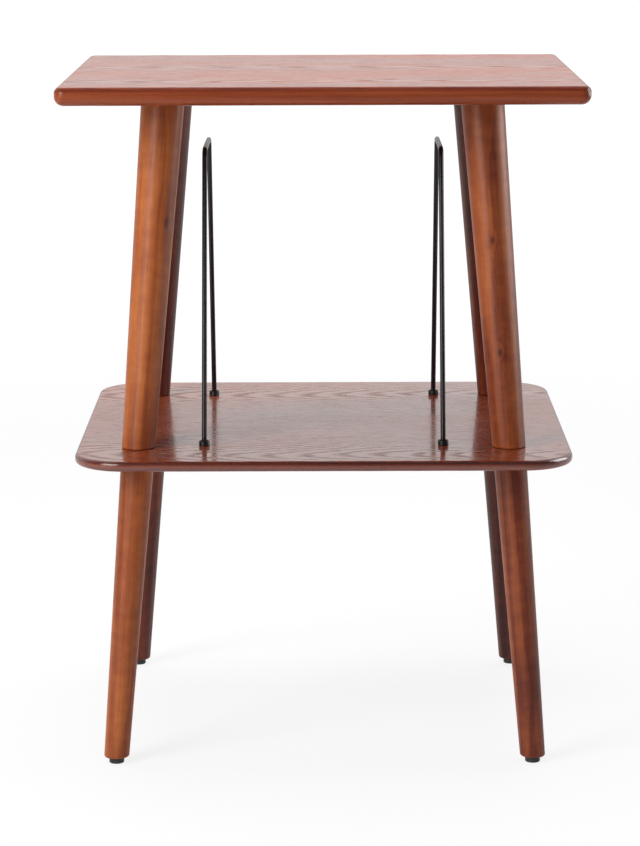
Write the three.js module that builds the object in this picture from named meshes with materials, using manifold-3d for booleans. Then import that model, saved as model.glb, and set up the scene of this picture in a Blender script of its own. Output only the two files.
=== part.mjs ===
// Two-tier record storage stand. Millimetres, +Z up, front towards -Y, floor at Z = 0.
//
// A board for the turntable stands on four round, tapered legs that splay both ways. The legs
// are cut through by the record shelf: at each corner a double-ended stud clamps the shelf
// between an upper and a lower leg. Two bent wires plug into the shelf as record dividers.

import * as THREE from 'three';
import { mergeVertices } from 'three/addons/utils/BufferGeometryUtils.js';
import Module from 'manifold-3d';

const wasm = await Module();
wasm.setup();

// ---------------------------------------------------------------- fits

// Left between faces that touch, and all round what sits in a bore.
const SEAT_GAP = 0.3;
// How far a cutter reaches past the face it opens.
const CUT_OVERRUN = 1;

// ---------------------------------------------------------------- boards

const STAND_HEIGHT = 635;

const TOP_WIDTH = 480;
const TOP_DEPTH = 395;
const TOP_THICKNESS = 17;
// The top board's edge is rounded more below than above.
const TOP_UPPER_ROUND = 5.5;
const TOP_LOWER_ROUND = 8.5;
const TOP_CORNER_RADIUS = 9.5;

const SHELF_WIDTH = 460;
const SHELF_DEPTH = 390;
const SHELF_THICKNESS = 9.5;
const SHELF_EDGE_ROUND = 3.7;
const SHELF_CORNER_RADIUS = 47;
const SHELF_TOP_HEIGHT = 294;

// ---------------------------------------------------------------- legs

// From the top board's edges in to a leg's axis, at the board's underside.
const LEG_INSET_X = 92.2;
const LEG_INSET_Y = 107.2;
// How much further out the axis meets the floor.
const LEG_SPLAY_X = 47.4;
const LEG_SPLAY_Y = 72.9;

const LEG_TOP_DIAMETER = 40.5;
const LEG_SHELF_DIAMETER = 30.9;
const LEG_FOOT_DIAMETER = 23.4;
const LEG_FOOT_CHAMFER = 1.5;
const LEG_ARRIS = 0.6;

// ---------------------------------------------------------------- glides

const GLIDE_DIAMETER = 14;
const GLIDE_HEIGHT = 5.6;
const GLIDE_CHAMFER = 0.8;
const NAIL_DIAMETER = 2.4;
const NAIL_LENGTH = 20;
const NAIL_HEAD_DIAMETER = 8;
const NAIL_HEAD_THICKNESS = 1.2;
// Plastic left under the nail's head.
const GLIDE_SOLE = 2;

// ---------------------------------------------------------------- hidden leg hardware

const STUD_DIAMETER = 8;
const STUD_REACH = 20;
const STUD_HOLE_CLEARANCE = 0.5;

const INSERT_DIAMETER = 12;
const INSERT_LENGTH = 15;
const INSERT_FLANGE_DIAMETER = 15;
const INSERT_FLANGE_THICKNESS = 1.5;

const BOARD_INSERT_LENGTH = 11;
const BOLT_BOARD_REACH = 10;
const BOLT_LEG_REACH = 38;
const BOLT_TIP_LENGTH = 7;

// ---------------------------------------------------------------- record dividers

// Between the two dividers, on centres.
const DIVIDER_SPACING = 223;
// From the wire's top bar up to the top board.
const DIVIDER_HEADROOM = 52;
// Front to back, on the wire's centre line: at the shelf, and along the top bar.
const DIVIDER_BASE_SPAN = 245;
const DIVIDER_TOP_SPAN = 102;
const WIRE_DIAMETER = 4.8;
const WIRE_TOP_BEND_RADIUS = 9.5;
const WIRE_FOOT_BEND_RADIUS = 14;
// Straight wire that stands clear of the collar before the foot bend's corner.
const WIRE_FOOT_RISE = 2.5;
// Board left under the blind hole that takes the wire's end.
const WIRE_HOLE_FLOOR = 3;

const COLLAR_DIAMETER = 10;
const COLLAR_HEIGHT = 4.2;
const COLLAR_CHAMFER = 0.8;

// ---------------------------------------------------------------- facets

const LEG_SEGMENTS = 32;
const GLIDE_SEGMENTS = 20;
const COLLAR_SEGMENTS = 16;
const HARDWARE_SEGMENTS = 12;
const NAIL_SEGMENTS = 10;
const WIRE_SIDES = 12;
const EDGE_ROUND_STEPS = 5;
const TOP_CORNER_STEPS = 3;
const SHELF_CORNER_STEPS = 6;
const WIRE_BEND_STEPS = 7;

// ---------------------------------------------------------------- worked-out heights and fits

const TOP_UNDERSIDE = STAND_HEIGHT - TOP_THICKNESS;
const SHELF_UNDERSIDE = SHELF_TOP_HEIGHT - SHELF_THICKNESS;
const SHELF_MIDDLE = (SHELF_TOP_HEIGHT + SHELF_UNDERSIDE) / 2;

const UPPER_LEG_TOP = TOP_UNDERSIDE - SEAT_GAP;
const UPPER_LEG_BOTTOM = SHELF_TOP_HEIGHT + SEAT_GAP;
const LOWER_LEG_TOP = SHELF_UNDERSIDE - SEAT_GAP;
const LOWER_LEG_BOTTOM = GLIDE_HEIGHT + SEAT_GAP;

// Half the spacing of the leg axes, at the top board's underside and at the floor.
const LEG_TOP_X = TOP_WIDTH / 2 - LEG_INSET_X;
const LEG_TOP_Y = TOP_DEPTH / 2 - LEG_INSET_Y;
const LEG_FOOT_X = LEG_TOP_X + LEG_SPLAY_X;
const LEG_FOOT_Y = LEG_TOP_Y + LEG_SPLAY_Y;

// Above the shelf's top face.
const DIVIDER_HEIGHT = TOP_UNDERSIDE - SHELF_TOP_HEIGHT - DIVIDER_HEADROOM;

const BORE_RADIUS = STUD_DIAMETER / 2 + SEAT_GAP;

// One entry for each corner of the stand, with the side it is on.
const CORNERS = [
  { name: 'front_left', x: -1, y: -1 },
  { name: 'front_right', x: 1, y: -1 },
  { name: 'back_left', x: -1, y: 1 },
  { name: 'back_right', x: 1, y: 1 },
];

const SIDES = [
  { name: 'left', x: -1 },
  { name: 'right', x: 1 },
];

const WIRE_ENDS = [
  { name: 'front', y: -1 },
  { name: 'back', y: 1 },
];

// ---------------------------------------------------------------- finishes

const FINISHES = {
  veneer: { color: 0x8a4632, roughness: 0.34, metalness: 0 },
  turned_wood: { color: 0x7c3a20, roughness: 0.4, metalness: 0 },
  black_wire: { color: 0x17151a, roughness: 0.42, metalness: 0.2 },
  black_rubber: { color: 0x121013, roughness: 0.75, metalness: 0 },
  glide_plastic: { color: 0x35302f, roughness: 0.65, metalness: 0 },
  zinc_steel: { color: 0xb9b6ac, roughness: 0.35, metalness: 1 },
};

function piece(name, geometry, finish, position = new THREE.Vector3()) {
  const material = new THREE.MeshStandardMaterial(FINISHES[finish]);
  const mesh = new THREE.Mesh(geometry, material);
  mesh.name = name;
  mesh.position.copy(position);
  return mesh;
}

// ---------------------------------------------------------------- solids

// Merges shared vertices and drops the empty triangles that a profile leaves on its axis.
function weld(geometry) {
  const bare = geometry.clone();
  bare.deleteAttribute('normal');
  bare.deleteAttribute('uv');
  const merged = mergeVertices(bare);
  const corners = merged.index.array;
  const kept = [];
  for (let i = 0; i < corners.length; i += 3) {
    const [a, b, c] = corners.slice(i, i + 3);
    if (a !== b && b !== c && c !== a) {
      kept.push(a, b, c);
    }
  }
  merged.setIndex(kept);
  return merged;
}

function toSolid(geometry) {
  const welded = weld(geometry);
  const vertProperties = new Float32Array(welded.attributes.position.array);
  const triVerts = new Uint32Array(welded.index.array);
  return new wasm.Manifold(new wasm.Mesh({ numProp: 3, vertProperties, triVerts }));
}

function toGeometry(solid) {
  const mesh = solid.getMesh();
  const geometry = new THREE.BufferGeometry();
  geometry.setAttribute('position', new THREE.BufferAttribute(new Float32Array(mesh.vertProperties), 3));
  geometry.setIndex(new THREE.BufferAttribute(new Uint32Array(mesh.triVerts), 1));
  geometry.computeVertexNormals();
  return geometry;
}

// Spins a profile of [radius, height] pairs about Z.
function turned(profile, segments) {
  const points = profile.map(([radius, height]) => new THREE.Vector2(radius, height));
  return new THREE.LatheGeometry(points, segments).rotateX(Math.PI / 2);
}

// A stepped round cutter. Its mouth is at height 0, and each step is a radius and the depth it
// reaches, measured up from the mouth.
function socketCutter(steps, segments) {
  const profile = [[0, -CUT_OVERRUN]];
  let depth = -CUT_OVERRUN;
  for (const [radius, reach] of steps) {
    profile.push([radius, depth], [radius, reach]);
    depth = reach;
  }
  profile.push([0, depth]);
  return turned(profile, segments);
}

// Sets a cutter or a fitting, made mouth down, at a place. Facing up turns it over.
function seatAt(geometry, x, y, z, faces) {
  if (faces === 'up') {
    geometry.rotateX(Math.PI);
  }
  return geometry.translate(x, y, z);
}

function withCuts(solid, cutters) {
  return cutters.reduce((body, cutter) => body.subtract(toSolid(cutter)), solid);
}

// ---------------------------------------------------------------- boards

const QUARTERS = [[1, 1], [-1, 1], [-1, -1], [1, -1]];

// A board's rounded outline, drawn in all round by an inset, at one height.
function rim(width, depth, cornerRadius, cornerSteps, inset, height) {
  return QUARTERS.flatMap(([x, y], quarter) => Array.from({ length: cornerSteps + 1 }, (_, step) => {
    const angle = ((quarter + step / cornerSteps) * Math.PI) / 2;
    const reach = cornerRadius - inset;
    return [
      x * (width / 2 - cornerRadius) + reach * Math.cos(angle),
      y * (depth / 2 - cornerRadius) + reach * Math.sin(angle),
      height,
    ];
  }));
}

// A board centred on Z from height 0 up, with its lower and upper arrises rounded all the way along.
function roundedBoard(width, depth, thickness, lowerRound, upperRound, cornerRadius, cornerSteps) {
  const rims = [];
  const addRim = (round, turn, height) => {
    const inset = round * (1 - Math.sin(turn));
    const rise = round * (1 - Math.cos(turn));
    rims.push(rim(width, depth, cornerRadius, cornerSteps, inset, height(rise)));
  };
  for (let step = 0; step <= EDGE_ROUND_STEPS; step += 1) {
    addRim(lowerRound, (step / EDGE_ROUND_STEPS) * (Math.PI / 2), (rise) => rise);
  }
  for (let step = EDGE_ROUND_STEPS; step >= 0; step -= 1) {
    addRim(upperRound, (step / EDGE_ROUND_STEPS) * (Math.PI / 2), (rise) => thickness - rise);
  }
  const count = rims[0].length;
  const last = rims.length - 1;
  const positions = [...rims.flat(2), 0, 0, 0, 0, 0, thickness];
  const underside = rims.length * count;
  const index = [];
  for (let i = 0; i < count; i += 1) {
    const j = (i + 1) % count;
    index.push(underside, j, i, underside + 1, last * count + i, last * count + j);
    for (let level = 0; level < last; level += 1) {
      const low = level * count;
      const high = low + count;
      index.push(low + i, low + j, high + j, low + i, high + j, high + i);
    }
  }
  const board = new THREE.BufferGeometry();
  board.setAttribute('position', new THREE.Float32BufferAttribute(positions, 3));
  board.setIndex(index);
  return board;
}

function topBoard() {
  const board = roundedBoard(
    TOP_WIDTH,
    TOP_DEPTH,
    TOP_THICKNESS,
    TOP_LOWER_ROUND,
    TOP_UPPER_ROUND,
    TOP_CORNER_RADIUS,
    TOP_CORNER_STEPS,
  );
  const sockets = CORNERS.map((corner) => {
    const bolt = axisPoint(corner, UPPER_LEG_TOP);
    return seatAt(insertSocket(BOARD_INSERT_LENGTH, 0), bolt.x, bolt.y, 0, 'down');
  });
  const position = new THREE.Vector3(0, 0, TOP_UNDERSIDE);
  return piece('top_board', toGeometry(withCuts(toSolid(board), sockets)), 'veneer', position);
}

function shelfBoard() {
  const board = roundedBoard(
    SHELF_WIDTH,
    SHELF_DEPTH,
    SHELF_THICKNESS,
    SHELF_EDGE_ROUND,
    SHELF_EDGE_ROUND,
    SHELF_CORNER_RADIUS,
    SHELF_CORNER_STEPS,
  );
  const studRadius = STUD_DIAMETER / 2 + STUD_HOLE_CLEARANCE;
  const studHoles = CORNERS.map((corner) => {
    const stud = axisPoint(corner, SHELF_MIDDLE);
    const through = [[studRadius, SHELF_THICKNESS + CUT_OVERRUN]];
    return seatAt(socketCutter(through, HARDWARE_SEGMENTS), stud.x, stud.y, 0, 'down');
  });
  const wireHoles = SIDES.flatMap((side) => WIRE_ENDS.map((end) => {
    const hole = wireFoot(side, end);
    const blind = [[WIRE_DIAMETER / 2 + SEAT_GAP, wireHoleDepth()]];
    return seatAt(socketCutter(blind, WIRE_SIDES), hole.x, hole.y, SHELF_THICKNESS, 'up');
  }));
  const solid = withCuts(toSolid(board), [...studHoles, ...wireHoles]);
  const position = new THREE.Vector3(0, 0, SHELF_UNDERSIDE);
  return piece('shelf_board', toGeometry(solid), 'veneer', position);
}

// ---------------------------------------------------------------- legs

// A point of the straight line that the upper and lower leg of one corner share.
function axisPoint(corner, height) {
  const share = height / TOP_UNDERSIDE;
  const x = THREE.MathUtils.lerp(LEG_FOOT_X, LEG_TOP_X, share);
  const y = THREE.MathUtils.lerp(LEG_FOOT_Y, LEG_TOP_Y, share);
  return new THREE.Vector3(corner.x * x, corner.y * y, height);
}

// The turned blank, longer than the leg at both ends, from the leg's foot at the origin.
function legBlank(rise, footDiameter, headDiameter) {
  const length = rise.length();
  const overrun = headDiameter;
  const flare = ((headDiameter - footDiameter) / 2) * (overrun / length);
  const profile = [
    [0, -overrun],
    [footDiameter / 2 - flare, -overrun],
    [headDiameter / 2 + flare, length + overrun],
    [0, length + overrun],
  ];
  const up = new THREE.Vector3(0, 0, 1);
  const lean = new THREE.Quaternion().setFromUnitVectors(up, rise.clone().normalize());
  return turned(profile, LEG_SEGMENTS).applyQuaternion(lean);
}

// Keeps what lies above a level end cut, and takes the arris off the cut's edge.
function endTrimmer(diameter, ease, reach) {
  const radius = diameter / 2 - ease;
  return turned([[0, 0], [radius, 0], [radius + reach, reach], [0, reach]], LEG_SEGMENTS);
}

// A leg between two level cuts, from the centre of its foot cut at the origin.
function splayedLeg(rise, footDiameter, headDiameter, footEase, headEase) {
  const reach = rise.length() + headDiameter;
  const foot = seatAt(endTrimmer(footDiameter, footEase, reach), 0, 0, 0, 'down');
  const head = seatAt(endTrimmer(headDiameter, headEase, reach), rise.x, rise.y, rise.z, 'up');
  const blank = toSolid(legBlank(rise, footDiameter, headDiameter));
  return blank.intersect(toSolid(foot)).intersect(toSolid(head));
}

function upperLeg(corner) {
  const foot = axisPoint(corner, UPPER_LEG_BOTTOM);
  const rise = axisPoint(corner, UPPER_LEG_TOP).sub(foot);
  const stud = axisPoint(corner, SHELF_MIDDLE).sub(foot);
  const leg = splayedLeg(rise, LEG_SHELF_DIAMETER, LEG_TOP_DIAMETER, LEG_ARRIS, LEG_ARRIS);
  const boltBore = socketCutter([[BORE_RADIUS, BOLT_LEG_REACH + SEAT_GAP]], HARDWARE_SEGMENTS);
  const cutters = [
    seatAt(insertSocket(INSERT_LENGTH, STUD_REACH), stud.x, stud.y, 0, 'down'),
    seatAt(boltBore, rise.x, rise.y, rise.z, 'up'),
  ];
  return piece(`upper_leg_${corner.name}`, toGeometry(withCuts(leg, cutters)), 'turned_wood', foot);
}

function lowerLeg(corner) {
  const foot = axisPoint(corner, LOWER_LEG_BOTTOM);
  const rise = axisPoint(corner, LOWER_LEG_TOP).sub(foot);
  const stud = axisPoint(corner, SHELF_MIDDLE).sub(foot);
  const leg = splayedLeg(rise, LEG_FOOT_DIAMETER, LEG_SHELF_DIAMETER, LEG_FOOT_CHAMFER, LEG_ARRIS);
  const nailBore = socketCutter([[NAIL_DIAMETER / 2 + SEAT_GAP, NAIL_LENGTH]], NAIL_SEGMENTS);
  const cutters = [
    seatAt(insertSocket(INSERT_LENGTH, STUD_REACH), stud.x, stud.y, rise.z, 'up'),
    seatAt(nailBore, 0, 0, 0, 'down'),
  ];
  return piece(`lower_leg_${corner.name}`, toGeometry(withCuts(leg, cutters)), 'turned_wood', foot);
}

// ---------------------------------------------------------------- inserts, studs and bolts

// The stepped bore for a flanged insert. A screw that reaches past the insert gets its own bore.
function insertSocket(insertLength, screwReach) {
  const steps = [
    [INSERT_FLANGE_DIAMETER / 2 + SEAT_GAP, INSERT_FLANGE_THICKNESS + SEAT_GAP],
    [INSERT_DIAMETER / 2 + SEAT_GAP, insertLength + SEAT_GAP],
  ];
  if (screwReach > insertLength) {
    steps.push([BORE_RADIUS, screwReach + SEAT_GAP]);
  }
  return socketCutter(steps, HARDWARE_SEGMENTS);
}

// A flanged threaded insert, its flange at height 0 and its body above.
function threadedInsert(length) {
  const flange = INSERT_FLANGE_DIAMETER / 2;
  const body = INSERT_DIAMETER / 2;
  const profile = [
    [BORE_RADIUS, 0],
    [flange, 0],
    [flange, INSERT_FLANGE_THICKNESS],
    [body, INSERT_FLANGE_THICKNESS],
    [body, length],
    [BORE_RADIUS, length],
    [BORE_RADIUS, 0],
  ];
  return turned(profile, HARDWARE_SEGMENTS);
}

function insertPiece(name, length, x, y, z, faces) {
  const geometry = weld(seatAt(threadedInsert(length), 0, 0, 0, faces));
  return piece(name, geometry, 'zinc_steel', new THREE.Vector3(x, y, z));
}

function shelfJoint(corner) {
  const stud = axisPoint(corner, SHELF_MIDDLE);
  const studLength = SHELF_THICKNESS + 2 * STUD_REACH;
  const rod = new THREE.CylinderGeometry(
    STUD_DIAMETER / 2,
    STUD_DIAMETER / 2,
    studLength,
    HARDWARE_SEGMENTS,
  ).rotateX(Math.PI / 2);
  const joint = new THREE.Group();
  joint.add(
    piece(`shelf_stud_${corner.name}`, weld(rod), 'zinc_steel', stud),
    insertPiece(`upper_leg_insert_${corner.name}`, INSERT_LENGTH, stud.x, stud.y, UPPER_LEG_BOTTOM, 'down'),
    insertPiece(`lower_leg_insert_${corner.name}`, INSERT_LENGTH, stud.x, stud.y, LOWER_LEG_TOP, 'up'),
  );
  return joint;
}

// A hanger bolt: machine thread up into the board's insert, pointed wood thread down in the leg.
function hangerBolt() {
  const radius = STUD_DIAMETER / 2;
  const profile = [
    [0, -BOLT_LEG_REACH],
    [radius, BOLT_TIP_LENGTH - BOLT_LEG_REACH],
    [radius, BOLT_BOARD_REACH],
    [0, BOLT_BOARD_REACH],
  ];
  return turned(profile, HARDWARE_SEGMENTS);
}

function topJoint(corner) {
  const seat = axisPoint(corner, UPPER_LEG_TOP);
  const joint = new THREE.Group();
  joint.add(
    piece(`top_bolt_${corner.name}`, weld(hangerBolt()), 'zinc_steel', seat),
    insertPiece(`top_insert_${corner.name}`, BOARD_INSERT_LENGTH, seat.x, seat.y, TOP_UNDERSIDE, 'down'),
  );
  return joint;
}

// ---------------------------------------------------------------- glides

// The nail's head is moulded into the pad, so the pad is hollow round it up to its top face.
function glidePad() {
  const radius = GLIDE_DIAMETER / 2;
  const neck = NAIL_DIAMETER / 2 + SEAT_GAP;
  const pocket = NAIL_HEAD_DIAMETER / 2 + SEAT_GAP;
  const pocketTop = GLIDE_SOLE + NAIL_HEAD_THICKNESS + 2 * SEAT_GAP;
  const profile = [
    [0, 0],
    [radius - GLIDE_CHAMFER, 0],
    [radius, GLIDE_CHAMFER],
    [radius, GLIDE_HEIGHT],
    [neck, GLIDE_HEIGHT],
    [neck, pocketTop],
    [pocket, pocketTop],
    [pocket, GLIDE_SOLE],
    [0, GLIDE_SOLE],
  ];
  return turned(profile, GLIDE_SEGMENTS);
}

function glideNail() {
  const head = NAIL_HEAD_DIAMETER / 2;
  const shank = NAIL_DIAMETER / 2;
  const profile = [
    [0, 0],
    [head, 0],
    [head, NAIL_HEAD_THICKNESS],
    [shank, NAIL_HEAD_THICKNESS],
    [shank, NAIL_LENGTH],
    [0, NAIL_LENGTH + NAIL_DIAMETER],
  ];
  return turned(profile, NAIL_SEGMENTS);
}

function glide(corner) {
  const foot = axisPoint(corner, LOWER_LEG_BOTTOM);
  const padAt = new THREE.Vector3(foot.x, foot.y, 0);
  const nailAt = new THREE.Vector3(foot.x, foot.y, GLIDE_SOLE + SEAT_GAP);
  const group = new THREE.Group();
  group.add(
    piece(`glide_pad_${corner.name}`, weld(glidePad()), 'glide_plastic', padAt),
    piece(`glide_nail_${corner.name}`, weld(glideNail()), 'zinc_steel', nailAt),
  );
  return group;
}

// ---------------------------------------------------------------- record dividers

function wireHoleDepth() {
  return SHELF_THICKNESS - WIRE_HOLE_FLOOR;
}

function wireFoot(side, end) {
  return new THREE.Vector2(side.x * DIVIDER_SPACING / 2, end.y * DIVIDER_BASE_SPAN / 2);
}

// A wire's centre line, given by the corners it turns at and a bend radius for each. Stations
// are kept as they are instead of being spread evenly, so that straight runs take no extra ones.
class BentWire extends THREE.Curve {
  constructor(corners, radii) {
    super();
    this.stations = [corners[0]];
    for (let i = 1; i < corners.length - 1; i += 1) {
      this.stations.push(...bendStations(corners[i - 1], corners[i], corners[i + 1], radii[i - 1]));
    }
    this.stations.push(corners.at(-1));
  }

  getPoint(t, target = new THREE.Vector3()) {
    const place = t * (this.stations.length - 1);
    const index = Math.min(Math.floor(place), this.stations.length - 2);
    return target.lerpVectors(this.stations[index], this.stations[index + 1], place - index);
  }

  getUtoTmapping(u) {
    return u;
  }
}

// Points of the arc that rounds one corner.
function bendStations(before, corner, after, radius) {
  const incoming = corner.clone().sub(before).normalize();
  const outgoing = after.clone().sub(corner).normalize();
  const angle = incoming.angleTo(outgoing);
  const start = corner.clone().addScaledVector(incoming, -radius * Math.tan(angle / 2));
  const inward = outgoing.clone().addScaledVector(incoming, -Math.cos(angle)).normalize();
  const stations = [];
  for (let step = 0; step <= WIRE_BEND_STEPS; step += 1) {
    const turn = (angle * step) / WIRE_BEND_STEPS;
    stations.push(start.clone()
      .addScaledVector(incoming, radius * Math.sin(turn))
      .addScaledVector(inward, radius * (1 - Math.cos(turn))));
  }
  return stations;
}

// Heights are measured from the shelf's top face.
function dividerRoute() {
  const end = SEAT_GAP - wireHoleDepth();
  const kneeHeight = SEAT_GAP + COLLAR_HEIGHT + WIRE_FOOT_RISE;
  const barHeight = DIVIDER_HEIGHT - WIRE_DIAMETER / 2;
  const base = DIVIDER_BASE_SPAN / 2;
  const bar = DIVIDER_TOP_SPAN / 2;
  const corners = [
    new THREE.Vector3(0, -base, end),
    new THREE.Vector3(0, -base, kneeHeight),
    new THREE.Vector3(0, -bar, barHeight),
    new THREE.Vector3(0, bar, barHeight),
    new THREE.Vector3(0, base, kneeHeight),
    new THREE.Vector3(0, base, end),
  ];
  const radii = [
    WIRE_FOOT_BEND_RADIUS,
    WIRE_TOP_BEND_RADIUS,
    WIRE_TOP_BEND_RADIUS,
    WIRE_FOOT_BEND_RADIUS,
  ];
  return new BentWire(corners, radii);
}

function wireSection() {
  const points = [];
  for (let i = 0; i < WIRE_SIDES; i += 1) {
    const turn = (i / WIRE_SIDES) * 2 * Math.PI;
    points.push(new THREE.Vector2(Math.cos(turn), Math.sin(turn)).multiplyScalar(WIRE_DIAMETER / 2));
  }
  return new THREE.Shape(points);
}

function dividerWire(side) {
  const route = dividerRoute();
  const steps = route.stations.length - 1;
  const wire = new THREE.ExtrudeGeometry(wireSection(), { steps, extrudePath: route });
  const position = new THREE.Vector3(side.x * DIVIDER_SPACING / 2, 0, SHELF_TOP_HEIGHT);
  return piece(`divider_wire_${side.name}`, weld(wire), 'black_wire', position);
}

function dividerCollar(side, end) {
  const bore = WIRE_DIAMETER / 2 + SEAT_GAP;
  const radius = COLLAR_DIAMETER / 2;
  const profile = [
    [bore, 0],
    [radius, 0],
    [radius, COLLAR_HEIGHT - COLLAR_CHAMFER],
    [radius - COLLAR_CHAMFER, COLLAR_HEIGHT],
    [bore, COLLAR_HEIGHT],
    [bore, 0],
  ];
  const foot = wireFoot(side, end);
  const position = new THREE.Vector3(foot.x, foot.y, SHELF_TOP_HEIGHT + SEAT_GAP);
  const geometry = weld(turned(profile, COLLAR_SEGMENTS));
  return piece(`divider_collar_${side.name}_${end.name}`, geometry, 'black_rubber', position);
}

function divider(side) {
  const group = new THREE.Group();
  group.add(dividerWire(side));
  for (const end of WIRE_ENDS) {
    group.add(dividerCollar(side, end));
  }
  return group;
}

// ---------------------------------------------------------------- the stand

function stand() {
  const group = new THREE.Group();
  group.add(topBoard(), shelfBoard());
  for (const corner of CORNERS) {
    group.add(upperLeg(corner), lowerLeg(corner));
    group.add(topJoint(corner), shelfJoint(corner), glide(corner));
  }
  for (const side of SIDES) {
    group.add(divider(side));
  }
  return group;
}

export default stand();
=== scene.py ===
"""Record storage stand: two veneered boards, splayed turned legs and bent wire dividers.

All lengths are in metres. +Z is up, the front faces -Y, and the stand is centred on the origin.
"""

import math
from contextlib import contextmanager

import bmesh
import bpy
from mathutils import Matrix, Vector


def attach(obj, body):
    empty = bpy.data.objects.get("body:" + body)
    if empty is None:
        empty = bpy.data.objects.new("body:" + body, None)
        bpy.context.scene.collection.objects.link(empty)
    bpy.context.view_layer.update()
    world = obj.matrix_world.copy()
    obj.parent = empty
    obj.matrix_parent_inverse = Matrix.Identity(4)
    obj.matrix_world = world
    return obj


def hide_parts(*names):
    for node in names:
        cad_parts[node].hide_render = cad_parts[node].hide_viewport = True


MM = 0.001

# Boards
TOP_WIDTH = 480 * MM
TOP_DEPTH = 395 * MM
TOP_THICKNESS = 17 * MM
TOP_HEIGHT = 635 * MM
TOP_CORNER_RADIUS = 9.5 * MM
TOP_UPPER_ROUND = 5.5 * MM
TOP_LOWER_ROUND = 8.5 * MM
SHELF_WIDTH = 460 * MM
SHELF_DEPTH = 390 * MM
SHELF_THICKNESS = 9.5 * MM
SHELF_HEIGHT = 294 * MM
SHELF_CORNER_RADIUS = 47 * MM
SHELF_EDGE_ROUND = 3.7 * MM
CORNER_SEGMENTS = 16
EDGE_SEGMENTS = 8
BORDER = 0.6 * MM

# Legs
SEAT_GAP = 0.3 * MM
LEG_TOP_X = 147.8 * MM
LEG_TOP_Y = 90.3 * MM
LEG_FOOT_X = 195.2 * MM
LEG_FOOT_Y = 163.2 * MM
LEG_TOP_DIAMETER = 40.5 * MM
LEG_SHELF_DIAMETER = 30.9 * MM
LEG_FOOT_DIAMETER = 23.4 * MM
LEG_FOOT_EASE = 1.5 * MM
LEG_ARRIS = 0.6 * MM
LEG_SIDES = 96
LEG_OVERRUN = 8 * MM
LEG_EASE_SEGMENTS = 3
LEG_END_LOOP = 1.5 * MM
CORNERS = {
    "front_left": (-1, -1),
    "front_right": (1, -1),
    "back_left": (-1, 1),
    "back_right": (1, 1),
}

# Glides under the feet
GLIDE_DIAMETER = 14 * MM
GLIDE_HEIGHT = 5.6 * MM
GLIDE_EDGE = 0.8 * MM
GLIDE_ARRIS = 0.3 * MM
GLIDE_BORDER = 0.4 * MM
GLIDE_SIDES = 48
GLIDE_EDGE_SEGMENTS = 4
GLIDE_ARRIS_SEGMENTS = 2

# Bent wire dividers and their collars
DIVIDER_SPACING = 223 * MM
DIVIDER_BASE_SPAN = 245 * MM
DIVIDER_TOP_SPAN = 102 * MM
DIVIDER_RISE = 272 * MM
WIRE_DIAMETER = 4.8 * MM
WIRE_TOP_BEND = 9.5 * MM
WIRE_FOOT_BEND = 14 * MM
WIRE_FOOT_RISE = 2.5 * MM
WIRE_HOLE_DEPTH = 6.5 * MM
WIRE_SIDES = 24
BEND_STEPS = 12
COLLAR_DIAMETER = 10 * MM
COLLAR_HEIGHT = 4.2 * MM
COLLAR_RIM = 0.8 * MM
COLLAR_CUP = 1.2 * MM
COLLAR_ARRIS = 0.15 * MM
COLLAR_SIDES = 40
COLLAR_ARRIS_SEGMENTS = 3

# Camera and studio
CAMERA_DISTANCE = 2.7233
CAMERA_HEIGHT = 0.8504
CAMERA_SIDE = -0.0033
CAMERA_PITCH = math.radians(9.415)
CAMERA_ROLL = math.radians(-0.187)
CAMERA_TURN = math.radians(0.111)
FRAME_LONG_SIDE = 846
FOCAL_PIXELS = 2844.1
SENSOR = 36
LENS_SHIFT = -0.13
FLOOR_SIZE = 60
FLOOR_GLOW = 0.8
FLOOR_MIRRORED = 0.75
FLOOR_WHITE = 1.06
ROOM_LIGHT = 0.13
ROOM_REFLECTION = 0.15
LAMP_AIM = Vector((0, 0, 0.35))

# Wood
RING_WIDTH = 3.4 * MM
# Each leg's wood tone; the front right and back legs are set darker as painted shade.
LEG_TONE_AND_PAINTED_SHADE = {"front_left": 0.76, "front_right": 0.6, "back_left": 0.34, "back_right": 0.3}
# Painted shade: the lower legs are set darker than the upper ones.
LOWER_LEG_PAINTED_SHADE = 0.1
# Each leg is turned and moved by so much more in its wood than the one before
GRAIN_TURN = 1.9
GRAIN_SHIFT = 1.61
# Two knots on the front of the front right upper leg
FRONT_KNOTS = ((0.1562, -0.124, 0.487), (0.1634, -0.1348, 0.384))

# Words in the names of the hardware nodes, which get zinc plate
HARDWARE = ("bolt", "insert", "stud", "nail")

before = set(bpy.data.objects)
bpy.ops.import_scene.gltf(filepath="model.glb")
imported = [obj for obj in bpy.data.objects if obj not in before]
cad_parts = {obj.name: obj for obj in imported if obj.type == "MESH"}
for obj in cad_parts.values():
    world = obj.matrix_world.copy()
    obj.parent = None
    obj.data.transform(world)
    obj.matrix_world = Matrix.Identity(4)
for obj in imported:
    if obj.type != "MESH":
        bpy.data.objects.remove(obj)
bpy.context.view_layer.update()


# ---------------------------------------------------------------- modelling


def deselect():
    bpy.ops.object.select_all(action="DESELECT")


def settle(name):
    """Names the primitive just added and puts its place into its mesh."""
    piece = bpy.context.object
    piece.name = name
    piece.data.name = name
    bpy.ops.object.transform_apply(location=True, rotation=True, scale=True)
    return piece


@contextmanager
def editing(piece, select="EDGE"):
    """Edit mode on one piece, with nothing selected at the start."""
    bpy.context.view_layer.objects.active = piece
    piece.select_set(True)
    bpy.ops.object.mode_set(mode="EDIT")
    bpy.ops.mesh.select_mode(type=select)
    bpy.ops.mesh.select_all(action="DESELECT")
    yield piece
    bpy.ops.object.mode_set(mode="OBJECT")


def pick_edges(piece, rule):
    """Selects the edges whose two end points satisfy a rule."""
    bpy.ops.mesh.select_mode(type="EDGE")
    bpy.ops.mesh.select_all(action="DESELECT")
    mesh = bmesh.from_edit_mesh(piece.data)
    for edge in mesh.edges:
        edge.select_set(all(rule(vertex.co) for vertex in edge.verts))
    bmesh.update_edit_mesh(piece.data)


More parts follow.
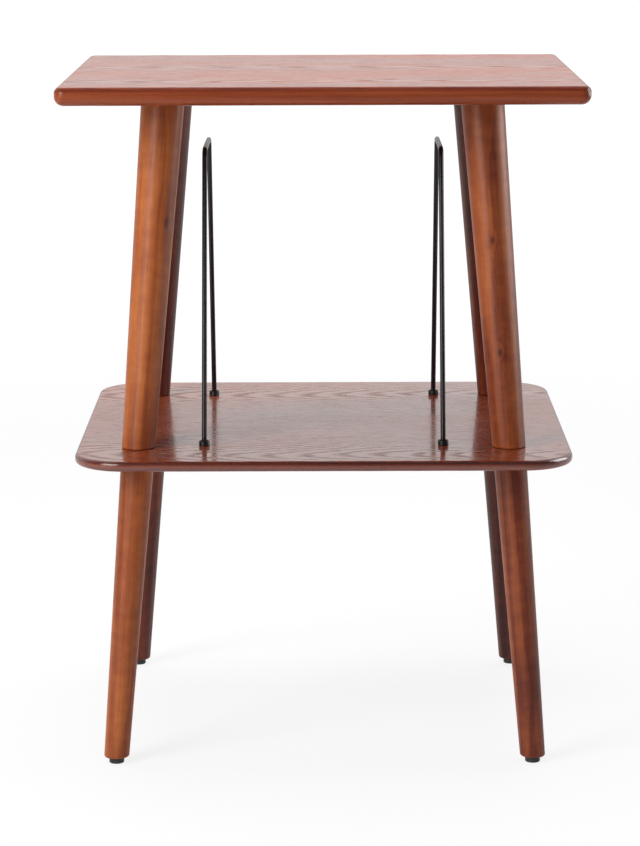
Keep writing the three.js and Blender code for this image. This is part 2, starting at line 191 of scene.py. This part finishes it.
def pick_upright_edges(piece):
    bpy.ops.mesh.select_mode(type="EDGE")
    bpy.ops.mesh.select_all(action="DESELECT")
    mesh = bmesh.from_edit_mesh(piece.data)
    for edge in mesh.edges:
        run = edge.verts[1].co - edge.verts[0].co
        edge.select_set(abs(run.z) > 0.99 * run.length)
    bmesh.update_edit_mesh(piece.data)


def pick_faces(piece, rule):
    """Selects the faces whose centre and normal satisfy a rule."""
    bpy.ops.mesh.select_mode(type="FACE")
    bpy.ops.mesh.select_all(action="DESELECT")
    mesh = bmesh.from_edit_mesh(piece.data)
    for face in mesh.faces:
        face.select_set(rule(face.calc_center_median(), face.normal))
    bmesh.update_edit_mesh(piece.data)


def level_with(height):
    return lambda point: abs(point.z - height) < 0.01 * MM


def faces_up(centre, normal):
    return normal.z > 0.9999


def faces_down(centre, normal):
    return normal.z < -0.9999


def lies_level(centre, normal):
    return abs(normal.z) > 0.9999


def round_edges(width, segments):
    bpy.ops.mesh.bevel(
        offset=width, offset_type="OFFSET", segments=segments, profile=0.5, affect="EDGES"
    )


def smooth(piece, angle=35):
    deselect()
    bpy.context.view_layer.objects.active = piece
    piece.select_set(True)
    bpy.ops.object.shade_smooth_by_angle(angle=math.radians(angle))
    piece.select_set(False)


def fit(piece, node, material):
    """Finishes a piece that stands for a CAD node of the fixed frame."""
    piece.data.materials.clear()
    piece.data.materials.append(material)
    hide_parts(node)
    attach(piece, "root")


def moved_copy(piece, name, place=(0, 0, 0), mirrored=(1, 1)):
    """A copy with its own mesh, mirrored across the middle planes and moved."""
    copy = piece.copy()
    copy.data = piece.data.copy()
    copy.name = copy.data.name = name
    bpy.context.collection.objects.link(copy)
    copy.data.transform(Matrix.Translation(place) @ Matrix.Diagonal((*mirrored, 1, 1)))
    if mirrored[0] * mirrored[1] < 0:
        deselect()
        with editing(copy, "FACE"):
            bpy.ops.mesh.select_all(action="SELECT")
            bpy.ops.mesh.normals_make_consistent(inside=False)
    return copy


def board(name, size, top, corner_radius, lower_round, upper_round):
    """A board with rounded corners and rounded arrises, its top face at height top."""
    width, depth, thickness = size
    deselect()
    bpy.ops.mesh.primitive_cube_add(size=1, location=(0, 0, top - thickness / 2), scale=size)
    piece = settle(name)
    with editing(piece):
        pick_upright_edges(piece)
        round_edges(corner_radius, CORNER_SEGMENTS)
        for height, edge_round in ((top, upper_round), (top - thickness, lower_round)):
            pick_edges(piece, level_with(height))
            round_edges(edge_round, EDGE_SEGMENTS)
        pick_faces(piece, lies_level)
        bpy.ops.mesh.inset(thickness=BORDER)
    smooth(piece)
    return piece


def leg_axis(height):
    """Where the front right leg's axis passes a height, mirrored for the other corners."""
    share = height / (TOP_HEIGHT - TOP_THICKNESS)
    return Vector((
        LEG_FOOT_X + (LEG_TOP_X - LEG_FOOT_X) * share,
        LEG_FOOT_Y + (LEG_TOP_Y - LEG_FOOT_Y) * share,
        height,
    ))


def leg(name, low, high, foot_diameter, head_diameter, foot_ease, head_ease):
    """A tapered round leg on the leaning axis, trimmed level at both ends."""
    foot = leg_axis(low)
    head = leg_axis(high)
    rise = head - foot
    along = rise.normalized()
    growth = (head_diameter - foot_diameter) / 2 / rise.length * LEG_OVERRUN
    deselect()
    bpy.ops.mesh.primitive_cone_add(
        vertices=LEG_SIDES,
        radius1=foot_diameter / 2 - growth,
        radius2=head_diameter / 2 + growth,
        depth=rise.length + 2 * LEG_OVERRUN,
        location=(foot + head) / 2,
        rotation=along.to_track_quat("Z", "Y").to_euler(),
    )
    piece = settle(name)
    with editing(piece):
        for height, below in ((low, True), (high, False)):
            bpy.ops.mesh.select_all(action="SELECT")
            bpy.ops.mesh.bisect(
                plane_co=(0, 0, height),
                plane_no=(0, 0, 1),
                use_fill=True,
                clear_inner=below,
                clear_outer=not below,
            )
        for height, ease in ((low, foot_ease), (high, head_ease)):
            pick_edges(piece, level_with(height))
            round_edges(ease, LEG_EASE_SEGMENTS)
        for height in (low + foot_ease + LEG_END_LOOP, high - head_ease - LEG_END_LOOP):
            bpy.ops.mesh.select_all(action="SELECT")
            bpy.ops.mesh.bisect(plane_co=(0, 0, height), plane_no=(0, 0, 1))
        pick_faces(piece, lies_level)
        bpy.ops.mesh.inset(thickness=BORDER)
    smooth(piece)
    return piece


def glide():
    """The front right glide pad."""
    place = leg_axis(SEAT_GAP + GLIDE_HEIGHT)
    deselect()
    bpy.ops.mesh.primitive_cylinder_add(
        vertices=GLIDE_SIDES,
        radius=GLIDE_DIAMETER / 2,
        depth=GLIDE_HEIGHT,
        location=(place.x, place.y, GLIDE_HEIGHT / 2),
    )
    piece = settle("glide")
    with editing(piece):
        pick_edges(piece, level_with(0))
        round_edges(GLIDE_EDGE, GLIDE_EDGE_SEGMENTS)
        pick_edges(piece, level_with(GLIDE_HEIGHT))
        round_edges(GLIDE_ARRIS, GLIDE_ARRIS_SEGMENTS)
        pick_faces(piece, lies_level)
        bpy.ops.mesh.inset(thickness=GLIDE_BORDER)
    smooth(piece)
    return piece


def extrude(step):
    bpy.ops.mesh.extrude_region_move(TRANSFORM_OT_translate={"value": step})


def divider_wire():
    """One divider, bent from round wire in the middle plane of the stand."""
    radius = WIRE_DIAMETER / 2
    base = DIVIDER_BASE_SPAN / 2
    bar = DIVIDER_TOP_SPAN / 2
    end = SHELF_HEIGHT + SEAT_GAP - WIRE_HOLE_DEPTH
    knee = SHELF_HEIGHT + SEAT_GAP + COLLAR_HEIGHT + WIRE_FOOT_RISE
    height = SHELF_HEIGHT + DIVIDER_RISE - radius
    lean = math.atan2(base - bar, height - knee)
    foot_cut = WIRE_FOOT_BEND * math.tan(lean / 2)
    top_turn = math.pi / 2 - lean
    top_cut = WIRE_TOP_BEND * math.tan(top_turn / 2)
    slope = Vector((0, math.sin(lean), math.cos(lean)))
    leg_length = math.hypot(base - bar, height - knee) - foot_cut - top_cut
    deselect()
    bpy.ops.mesh.primitive_circle_add(
        vertices=WIRE_SIDES, radius=radius, fill_type="NOTHING", location=(0, -base, end)
    )
    piece = settle("divider_wire")
    with editing(piece):
        bpy.ops.mesh.select_all(action="SELECT")
        extrude((0, 0, knee - foot_cut - end))
        bend((0, WIRE_FOOT_BEND - base, knee - foot_cut), lean)
        extrude(slope * leg_length)
        bend((0, top_cut - bar, height - WIRE_TOP_BEND), top_turn)
        extrude((0, 2 * (bar - top_cut), 0))
        bend((0, bar - top_cut, height - WIRE_TOP_BEND), top_turn)
        extrude(Vector((0, slope.y, -slope.z)) * leg_length)
        bend((0, base - WIRE_FOOT_BEND, knee - foot_cut), lean)
        extrude((0, 0, end - knee + foot_cut))
        bpy.ops.mesh.select_all(action="SELECT")
        bpy.ops.mesh.remove_doubles(threshold=0.001 * MM)
        bpy.ops.mesh.fill_holes(sides=0)
        bpy.ops.mesh.normals_make_consistent(inside=False)
    smooth(piece)
    return piece


def bend(centre, angle):
    """Carries the selected ring of wire round a centre, over the top towards the back."""
    bpy.ops.mesh.spin(steps=BEND_STEPS, angle=angle, center=centre, axis=(1, 0, 0))


def collar():
    """A collar on the shelf, a small cup with the wire through it, at the origin."""
    bottom = SHELF_HEIGHT + SEAT_GAP
    top = bottom + COLLAR_HEIGHT
    bore = WIRE_DIAMETER / 2 + SEAT_GAP
    deselect()
    bpy.ops.mesh.primitive_cylinder_add(
        vertices=COLLAR_SIDES,
        radius=COLLAR_DIAMETER / 2,
        depth=COLLAR_HEIGHT,
        location=(0, 0, bottom + COLLAR_HEIGHT / 2),
    )
    piece = settle("divider_collar")
    with editing(piece):
        pick_edges(piece, level_with(top))
        round_edges(COLLAR_ARRIS, COLLAR_ARRIS_SEGMENTS)
        pick_faces(piece, faces_up)
        bpy.ops.mesh.inset(thickness=COLLAR_RIM - COLLAR_ARRIS)
        extrude((0, 0, -COLLAR_CUP))
        bpy.ops.mesh.inset(thickness=COLLAR_DIAMETER / 2 - COLLAR_RIM - bore)
        pick_faces(piece, faces_down)
        bpy.ops.mesh.inset(thickness=COLLAR_DIAMETER / 2 - bore)
        pick_faces(
            piece,
            lambda centre, normal: lies_level(centre, normal) and centre.xy.length < 0.1 * MM,
        )
        bpy.ops.mesh.bridge_edge_loops()
    smooth(piece)
    return piece


# ---------------------------------------------------------------- finishes


def tint(red, green, blue):
    """A colour as light, from the 0 to 255 values it is written with."""
    levels = [value / 255 for value in (red, green, blue)]
    return tuple(v / 12.92 if v <= 0.04045 else ((v + 0.055) / 1.055) ** 2.4 for v in levels)


class Value:
    """A number that varies over a surface; sums on it add Math nodes."""

    def __init__(self, nodes, socket):
        self.nodes = nodes
        self.socket = socket

    def _math(self, operation, *terms):
        return self.nodes.math(operation, *terms)

    def __add__(self, other):
        return self._math("ADD", self, other)

    def __sub__(self, other):
        return self._math("SUBTRACT", self, other)

    def __mul__(self, other):
        return self._math("MULTIPLY", self, other)

    def __truediv__(self, other):
        return self._math("DIVIDE", self, other)

    def __radd__(self, other):
        return self._math("ADD", other, self)

    def __rsub__(self, other):
        return self._math("SUBTRACT", other, self)

    def __rmul__(self, other):
        return self._math("MULTIPLY", other, self)

    def __rtruediv__(self, other):
        return self._math("DIVIDE", other, self)


class Nodes:
    """Shader nodes that are being laid in a node tree."""

    def __init__(self, tree):
        self.tree = tree

    def node(self, kind, settings=None, inputs=None, output=0):
        made = self.tree.nodes.new(kind)
        for name, value in (settings or {}).items():
            if name == "stops":
                self.set_stops(made.color_ramp, value)
            else:
                setattr(made, name, value)
        for key, value in (inputs or {}).items():
            self.feed(made.inputs[key], value)
        return Value(self, made.outputs[output])

    @staticmethod
    def set_stops(ramp, stops):
        while len(ramp.elements) < len(stops):
            ramp.elements.new(1)
        for element, (position, colour) in zip(ramp.elements, stops):
            element.position = position
            element.color = (*colour, 1)

    def feed(self, socket, value):
        if isinstance(value, Value):
            self.tree.links.new(value.socket, socket)
        elif socket.type == "RGBA":
            socket.default_value = (*value, 1)
        else:
            socket.default_value = value

    def math(self, operation, *terms):
        return self.node("ShaderNodeMath", {"operation": operation}, dict(enumerate(terms)))

    def vector(self, operation, *terms):
        return self.node("ShaderNodeVectorMath", {"operation": operation}, dict(enumerate(terms)))

    def length(self, vector):
        return self.node(
            "ShaderNodeVectorMath", {"operation": "LENGTH"}, {0: vector}, output="Value"
        )

    def place(self):
        return self.node("ShaderNodeTexCoord", output="Object")

    def split(self, vector):
        return [
            self.node("ShaderNodeSeparateXYZ", inputs={0: vector}, output=axis) for axis in "XYZ"
        ]

    def join(self, x, y, z):
        return self.node("ShaderNodeCombineXYZ", inputs={0: x, 1: y, 2: z})

    def noise(self, place, stretch, detail=2.0, roughness=0.5):
        """Noise from 0 to 1, with so many features to the metre along each axis."""
        return self.node(
            "ShaderNodeTexNoise",
            inputs={
                "Vector": self.vector("MULTIPLY", place, stretch),
                "Scale": 1.0,
                "Detail": detail,
                "Roughness": roughness,
            },
        )

    def step(self, value, low, high):
        """Rises smoothly from 0 to 1 between two values."""
        return self.node(
            "ShaderNodeMapRange",
            {"interpolation_type": "SMOOTHSTEP"},
            {"Value": value, "From Min": low, "From Max": high},
        )

    def ramp(self, value, *stops):
        return self.node("ShaderNodeValToRGB", {"stops": stops}, {0: value})

    def mix(self, share, first, second):
        """A mix of two colours, whose sockets are the seventh, the eighth and the third result."""
        return self.node(
            "ShaderNodeMix", {"data_type": "RGBA"}, {0: share, 6: first, 7: second}, output=2
        )


class Finish(Nodes):
    """A node material that is being made."""

    def __init__(self, name):
        self.material = bpy.data.materials.new(name)
        self.material.use_nodes = True
        super().__init__(self.material.node_tree)
        self.shader = self.tree.nodes["Principled BSDF"]

    def surface(self, **inputs):
        """Feeds the shader's own sockets, named as base_color for Base Color."""
        for name, value in inputs.items():
            socket = name.replace("_", " ").title().replace("Ior", "IOR")
            self.feed(self.shader.inputs[socket], value)

    def bump(self, height, strength, distance):
        sockets = {"Strength": strength, "Distance": distance, "Height": height}
        self.feed(self.shader.inputs["Normal"], self.node("ShaderNodeBump", inputs=sockets))


def veneer(name, *, seed, leaf_width, leaf_offset, below, tilt, band_tone, gloss):
    """Stained flat-cut veneer: leaves laid side by side, grain along X, banded edges, and painted
    shade on the upper arris.

    A leaf is cut so far below the rings' centre, and tilted by so much per metre.
    """
    wood = Finish(name)
    x, y, z = wood.split(wood.place())
    nx, ny, nz = wood.split(wood.node("ShaderNodeTexCoord", output="Normal"))
    steep = wood.math("ABSOLUTE", nz)
    edge = 1 - wood.step(steep, 0.55, 0.9)
    # Painted shade: the rounded arris that faces up and forward is darkened by its normal,
    # standing in for the shade on it.
    arris_painted_shade = wood.step(nz, 0.05, 0.5) * (1 - wood.step(nz, 0.86, 0.97))
    end = wood.step(wood.math("ABSOLUTE", nx) - wood.math("ABSOLUTE", ny), -0.1, 0.1)

    # Each leaf is a slice through its own growth rings, tilted so that they close in arches.
    leaf_place = (y + leaf_offset) / leaf_width
    leaf = wood.math("FLOOR", leaf_place)
    across = (leaf_place - leaf - 0.5) * leaf_width
    along = x + leaf * 0.73 + seed
    sheet = wood.join(along, y, leaf * 3.1)
    sway = wood.noise(sheet, (2.6, 9.0, 1.0), detail=2.0)
    wander = wood.noise(sheet, (34.0, 110.0, 1.0), detail=3.0, roughness=0.6)
    figure = wood.join(along, y, z)
    fibre = wood.noise(figure, (9.0, 500.0, 500.0), detail=3.0)
    off = across + (sway - 0.5) * 0.05 + (wander - 0.5) * 0.001
    depth = below - x * tilt + (wander - 0.5) * 0.002 + (fibre - 0.5) * 0.004
    rings = wood.math("FRACT", wood.math("SQRT", off * off + depth * depth) / RING_WIDTH)
    early = wood.step(rings, 0.0, 0.14) * (1 - wood.step(rings, 0.2, 0.6))

    pores = wood.noise(figure, (80.0, 1900.0, 1900.0), detail=1.0)
    pits = wood.step(pores, 0.55, 0.68) * (0.2 + 0.8 * early)
    flecks = wood.noise(figure, (130.0, 700.0, 700.0), detail=2.0, roughness=0.6)
    dashes = wood.step(flecks, 0.48, 0.64)
    broken = wood.noise(figure, (50.0, 400.0, 1.0), detail=2.0)
    patch = wood.noise(sheet, (3.0, 12.0, 1.0), detail=3.0)

    # The banding on the edges has its own straight streaks.
    band = wood.join(x * (1 - end) + y * end + seed, z, end)
    band_streak = wood.noise(band, (3.5, 170.0, 3.0), detail=3.0)
    band_fine = wood.noise(band, (30.0, 1500.0, 3.0), detail=2.0)

    line = early * (0.1 + broken)
    face_tone = (
        0.73
        - 0.42 * line
        - 0.2 * pits
        - 0.17 * dashes
        + (fibre - 0.5) * 0.3
        + (patch - 0.5) * 0.5
    )
    edge_tone = band_tone + (band_streak - 0.5) * 0.7 + (band_fine - 0.5) * 0.25
    # The edges take the banding's tone, and the upward-facing arris is darkened as painted shade.
    tone = face_tone * (1 - edge) + edge_tone * edge - 0.34 * arris_painted_shade
    colour = wood.ramp(
        tone,
        (0.0, tint(70, 24, 17)),
        (0.3, tint(106, 42, 27)),
        (0.6, tint(144, 66, 38)),
        (1.0, tint(182, 100, 60)),
    )
    open_grain = (
        0.36 * line
        + 0.1 * pits
        + 0.08 * dashes
        + (fibre - 0.5) * 0.12
        + (patch - 0.5) * 0.3
    )
    wood.surface(
        base_color=colour,
        roughness=0.12 + open_grain * (1 - edge) + 0.06 * edge,
        specular_ior_level=gloss,
    )
    wood.bump(0 - pits - line, 0.05, 0.08 * MM)
    return wood.material


def turned_wood(name):
    """Stained solid wood, with the grain attribute running up each leg's own axis."""
    wood = Finish(name)
    grain = wood.node("ShaderNodeAttribute", {"attribute_name": "grain"}, output="Vector")
    # The per-leg tone attribute carries painted shade on the back, front right and lower legs.
    stain = wood.node("ShaderNodeAttribute", {"attribute_name": "stain"}, output="Fac")
    x, y, z = wood.split(grain)
    knots = wood.node(
        "ShaderNodeTexVoronoi",
        {"feature": "F1"},
        {
            "Vector": wood.vector("MULTIPLY", grain, (1.0, 1.0, 0.5)),
            "Scale": 15.0,
            "Randomness": 1.0,
        },
        output="Distance",
    )
    knot = 1 - wood.step(knots, 0.02, 0.06)
    swirl = 1 - wood.step(knots, 0.04, 0.35)
    for known in FRONT_KNOTS:
        away = wood.vector("SUBTRACT", wood.place(), known)
        reach = wood.length(wood.vector("MULTIPLY", away, (1.0, 1.0, 0.6)))
        knot = wood.math("MAXIMUM", knot, 1 - wood.step(reach, 0.5 * MM, 3.2 * MM))
        swirl = wood.math("MAXIMUM", swirl, 1 - wood.step(reach, 1 * MM, 9 * MM))
    sway = wood.noise(grain, (12.0, 12.0, 3.0), detail=2.0)
    wander = wood.noise(grain, (70.0, 70.0, 9.0), detail=3.0)
    off_x = x + 0.03 + (sway - 0.5) * 0.02 + swirl * 0.003
    off_y = y - 0.006 + (wander - 0.5) * 0.004
    distance = wood.math("SQRT", off_x * off_x + off_y * off_y)
    rings = wood.math("FRACT", distance / 0.011 + z * 0.9)
    late = wood.step(rings, 0.15, 0.85) * (1 - wood.step(rings, 0.87, 1.0))
    streak = wood.noise(grain, (90.0, 90.0, 2.6), detail=4.0, roughness=0.55)
    fibre = wood.noise(grain, (700.0, 700.0, 18.0), detail=2.0)
    pores = wood.noise(grain, (1400.0, 1400.0, 60.0), detail=1.0)
    pits = wood.step(pores, 0.58, 0.7)
    patch = wood.noise(grain, (30.0, 30.0, 9.0), detail=3.0)
    curl = wood.noise(grain, (60.0, 60.0, 110.0), detail=3.0)
    tone = (
        stain
        - 0.15 * late
        + (streak - 0.5) * 0.7
        + (fibre - 0.5) * 0.16
        + (patch - 0.5) * 0.5
        + (curl - 0.5) * 0.3
        - 0.08 * pits
        - 0.28 * knot
        - 0.1 * swirl
    )
    colour = wood.ramp(
        tone,
        (0.0, tint(64, 22, 15)),
        (0.3, tint(114, 48, 27)),
        (0.6, tint(164, 84, 40)),
        (0.8, tint(188, 106, 52)),
        (1.0, tint(204, 128, 70)),
    )
    wood.surface(
        base_color=colour,
        roughness=0.4 + 0.1 * pits + (streak - 0.5) * 0.06,
        specular_ior_level=0.36,
    )
    wood.bump(0 - pits - knot, 0.1, 0.06 * MM)
    return wood.material


def black_lacquer(name):
    """Satin black paint on the wire, with a fine ripple."""
    paint = Finish(name)
    place = paint.place()
    ripple = paint.noise(place, (240.0, 240.0, 60.0), detail=1.0)
    dust = paint.noise(place, (90.0, 90.0, 30.0), detail=2.0)
    paint.surface(
        base_color=paint.mix(paint.step(dust, 0.35, 0.75), tint(27, 20, 26), tint(40, 31, 38)),
        roughness=0.32 + (dust - 0.5) * 0.12,
        specular_ior_level=0.35,
        coat_weight=0.1,
        coat_roughness=0.1,
    )
    paint.bump(ripple, 0.03, 0.05 * MM)
    return paint.material


def moulded(name, dark, light, roughness, grain):
    """Moulded rubber or plastic with a fine even texture."""
    plastic = Finish(name)
    place = plastic.place()
    texture = plastic.noise(place, (grain, grain, grain), detail=2.0)
    cloud = plastic.noise(place, (160.0, 160.0, 160.0), detail=3.0)
    plastic.surface(
        base_color=plastic.mix(plastic.step(cloud, 0.3, 0.7), dark, light),
        roughness=roughness + (cloud - 0.5) * 0.12,
    )
    plastic.bump(texture, 0.25, 0.06 * MM)
    return plastic.material


def zinc_plate(name):
    """Zinc plated steel, turned, for the studs, inserts, bolts and nails."""
    metal = Finish(name)
    place = metal.place()
    turned = metal.noise(place, (120.0, 120.0, 2600.0), detail=2.0)
    cloud = metal.noise(place, (220.0, 220.0, 220.0), detail=3.0)
    metal.surface(
        base_color=metal.mix(
            metal.step(cloud, 0.3, 0.7), tint(168, 166, 160), tint(196, 196, 194)
        ),
        metallic=1.0,
        roughness=0.3 + (turned - 0.5) * 0.2 + (cloud - 0.5) * 0.1,
    )
    metal.bump(turned, 0.2, 0.05 * MM)
    return metal.material


# ---------------------------------------------------------------- the stand


def lay_grain(piece, sides, number, stain):
    """Stores each point's place in the leg's own wood, and the leg's tone, darkened by painted
    shade on the back, front right and lower legs.
    """
    foot = leg_axis(0)
    head = leg_axis(TOP_HEIGHT)
    mirror = Matrix.Diagonal((*sides, 1))
    along = (mirror @ (head - foot)).normalized()
    upright = along.to_track_quat("Z", "Y").to_matrix().transposed()
    turn = Matrix.Rotation(GRAIN_TURN * number, 3, "Z") @ upright
    offset = Vector((0, 0, GRAIN_SHIFT * number))
    base = mirror @ foot
    grain = piece.data.attributes.new("grain", "FLOAT_VECTOR", "POINT")
    for vertex, stored in zip(piece.data.vertices, grain.data):
        stored.vector = turn @ (vertex.co - base) + offset
    for stored in piece.data.attributes.new("stain", "FLOAT", "POINT").data:
        stored.value = stain


top = board(
    "veneered_top",
    (TOP_WIDTH, TOP_DEPTH, TOP_THICKNESS),
    TOP_HEIGHT,
    TOP_CORNER_RADIUS,
    TOP_LOWER_ROUND,
    TOP_UPPER_ROUND,
)
top_finish = veneer(
    "mahogany_veneer_top",
    seed=0.31,
    leaf_width=0.16,
    leaf_offset=0.05,
    below=0.05,
    tilt=0.05,
    band_tone=0.64,
    gloss=0.26,
)
fit(top, "top_board", top_finish)

shelf = board(
    "veneered_shelf",
    (SHELF_WIDTH, SHELF_DEPTH, SHELF_THICKNESS),
    SHELF_HEIGHT,
    SHELF_CORNER_RADIUS,
    SHELF_EDGE_ROUND,
    SHELF_EDGE_ROUND,
)
shelf_finish = veneer(
    "mahogany_veneer_shelf",
    seed=4.62,
    leaf_width=0.285,
    leaf_offset=0.3025,
    below=0.05,
    tilt=0.1,
    band_tone=0.38,
    gloss=1.0,
)
fit(shelf, "shelf_board", shelf_finish)

leg_finish = turned_wood("stained_leg_wood")
upper = leg(
    "turned_upper_leg",
    SHELF_HEIGHT + SEAT_GAP,
    TOP_HEIGHT - TOP_THICKNESS - SEAT_GAP,
    LEG_SHELF_DIAMETER,
    LEG_TOP_DIAMETER,
    LEG_ARRIS,
    LEG_ARRIS,
)
lower = leg(
    "turned_lower_leg",
    GLIDE_HEIGHT + SEAT_GAP,
    SHELF_HEIGHT - SHELF_THICKNESS - SEAT_GAP,
    LEG_FOOT_DIAMETER,
    LEG_SHELF_DIAMETER,
    LEG_FOOT_EASE,
    LEG_ARRIS,
)
pad = glide()
pad_finish = moulded("grey_glide_plastic", tint(46, 44, 46), tint(62, 59, 60), 0.5, 2600.0)
for number, (corner, sides) in enumerate(CORNERS.items()):
    for half, part in enumerate((upper, lower)):
        made = moved_copy(part, f"{part.name}_{corner}", mirrored=sides)
        # The leg's tone, lowered by painted shade for the lower legs.
        stain = LEG_TONE_AND_PAINTED_SHADE[corner] - half * LOWER_LEG_PAINTED_SHADE
        lay_grain(made, sides, 2 * number + half + 1, stain)
        smooth(made)
        fit(made, f"{part.name.removeprefix('turned_')}_{corner}", leg_finish)
    made = moved_copy(pad, f"moulded_glide_{corner}", mirrored=sides)
    smooth(made)
    fit(made, f"glide_pad_{corner}", pad_finish)

wire = divider_wire()
cup = collar()
wire_finish = black_lacquer("black_wire_lacquer")
cup_finish = moulded("black_collar_rubber", tint(12, 9, 10), tint(20, 16, 17), 0.4, 2200.0)
for side, sign in (("left", -1), ("right", 1)):
    x = sign * DIVIDER_SPACING / 2
    made = moved_copy(wire, f"bent_divider_wire_{side}", (x, 0, 0))
    fit(made, f"divider_wire_{side}", wire_finish)
    for end, depth in (("front", -1), ("back", 1)):
        place = (x, depth * DIVIDER_BASE_SPAN / 2, 0)
        made = moved_copy(cup, f"moulded_collar_{side}_{end}", place)
        fit(made, f"divider_collar_{side}_{end}", cup_finish)

for pattern in (upper, lower, pad, wire, cup):
    bpy.data.objects.remove(pattern)

zinc = zinc_plate("zinc_plated_steel")
for name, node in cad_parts.items():
    if any(word in name for word in HARDWARE):
        for material_slot in node.material_slots:
            material_slot.material = zinc


# ---------------------------------------------------------------- studio


def studio_floor():
    """White paper: it takes the stand's shadow, and the camera sees it as white."""
    deselect()
    bpy.ops.mesh.primitive_plane_add(size=FLOOR_SIZE)
    floor = settle("studio_floor")
    paper = Finish("white_paper")
    place = paper.place()
    tooth = paper.noise(place, (300.0, 300.0, 300.0), detail=2.0)
    paper.surface(
        base_color=(0.85, 0.85, 0.85),
        roughness=0.9 + (tooth - 0.5) * 0.05,
        specular_ior_level=0.0,
    )
    seen = paper.node("ShaderNodeLightPath", output="Is Camera Ray")
    mirrored = paper.node("ShaderNodeLightPath", output="Is Glossy Ray")
    glowing = FLOOR_GLOW + (1 - FLOOR_GLOW) * paper.step(paper.length(place), 0.6, 3.0)
    depth = paper.split(place)[1]
    mirror_glow = mirrored * FLOOR_MIRRORED * paper.step(depth, -1.2, 0.4)
    share = paper.math("MAXIMUM", seen, mirror_glow) * glowing
    glow = paper.node("ShaderNodeEmission", inputs={"Color": (1, 1, 1), "Strength": FLOOR_WHITE})
    mixed = paper.node(
        "ShaderNodeMixShader",
        inputs={0: share, 1: Value(paper, paper.shader.outputs[0]), 2: glow},
    )
    paper.feed(paper.tree.nodes["Material Output"].inputs["Surface"], mixed)
    floor.data.materials.append(paper.material)


def studio_world():
    """Even light, a white background, and a dimmer room behind the camera in reflections."""
    world = bpy.data.worlds.new("white_studio")
    bpy.context.scene.world = world
    world.use_nodes = True
    room = Nodes(world.node_tree)
    seen = room.node("ShaderNodeLightPath", output="Is Camera Ray")
    mirrored = room.node("ShaderNodeLightPath", output="Is Glossy Ray")
    _, depth, height = room.split(room.node("ShaderNodeTexCoord", output="Generated"))
    backdrop = room.step(depth, -0.3, 0.6) * (0.55 + 0.55 * room.step(height, 0.0, 0.2))
    reflected = ROOM_REFLECTION + (1 - ROOM_REFLECTION) * backdrop
    lit = (1 - room.math("MAXIMUM", seen, mirrored)) * ROOM_LIGHT
    strength = seen + mirrored * reflected + lit
    background = room.tree.nodes["Background"]
    room.feed(background.inputs["Color"], (1, 1, 1))
    room.feed(background.inputs["Strength"], strength)


def soft_lamp(name, place, size, power, mirrored=False):
    """An area lamp that either lights the stand or is only mirrored in it."""
    deselect()
    bpy.ops.object.light_add(type="AREA", location=place)
    lamp = bpy.context.object
    lamp.name = name
    lamp.data.shape = "RECTANGLE"
    lamp.data.size, lamp.data.size_y = size
    lamp.data.energy = power
    lamp.visible_camera = False
    lamp.visible_glossy = mirrored
    lamp.visible_diffuse = not mirrored
    lamp.rotation_euler = (LAMP_AIM - Vector(place)).to_track_quat("-Z", "Y").to_euler()


def camera():
    """The photograph's camera: where it stood, how it leaned and how far it was turned."""
    data = bpy.data.cameras.new("camera")
    eye = bpy.data.objects.new("camera", data)
    bpy.context.collection.objects.link(eye)
    data.sensor_width = SENSOR
    data.lens = FOCAL_PIXELS / FRAME_LONG_SIDE * SENSOR
    data.shift_y = LENS_SHIFT
    data.clip_start = 0.1
    data.clip_end = 200
    right = Vector((1, 0, 0))
    up = Vector((0, math.sin(CAMERA_PITCH), math.cos(CAMERA_PITCH)))
    back = right.cross(up)
    leaning_right = right * math.cos(CAMERA_ROLL) + up * math.sin(CAMERA_ROLL)
    leaning_up = up * math.cos(CAMERA_ROLL) - right * math.sin(CAMERA_ROLL)
    turn = Matrix((leaning_right, leaning_up, back)).transposed().to_4x4()
    place = Matrix.Translation((CAMERA_SIDE, -CAMERA_DISTANCE, CAMERA_HEIGHT))
    eye.matrix_world = Matrix.Rotation(CAMERA_TURN, 4, "Z") @ place @ turn
    bpy.context.scene.camera = eye


studio_floor()
studio_world()
soft_lamp("key_softbox", (-1.6, -1.35, 1.45), (1.0, 1.3), 39)
soft_lamp("key_panel", (-1.2, -1.55, 1.05), (1.1, 1.4), 22, mirrored=True)
soft_lamp("side_softbox", (1.3, 0.2, 0.95), (0.8, 0.9), 2.2)
soft_lamp("side_panel", (1.3, 0.1, 0.85), (0.9, 1.0), 16, mirrored=True)
soft_lamp("front_softbox", (0.9, -2.2, 1.3), (1.2, 1.2), 2)
soft_lamp("top_softbox", (0, 0.3, 2.0), (1.4, 1.2), 28)
camera()
bpy.context.scene.view_settings.view_transform = "Standard"
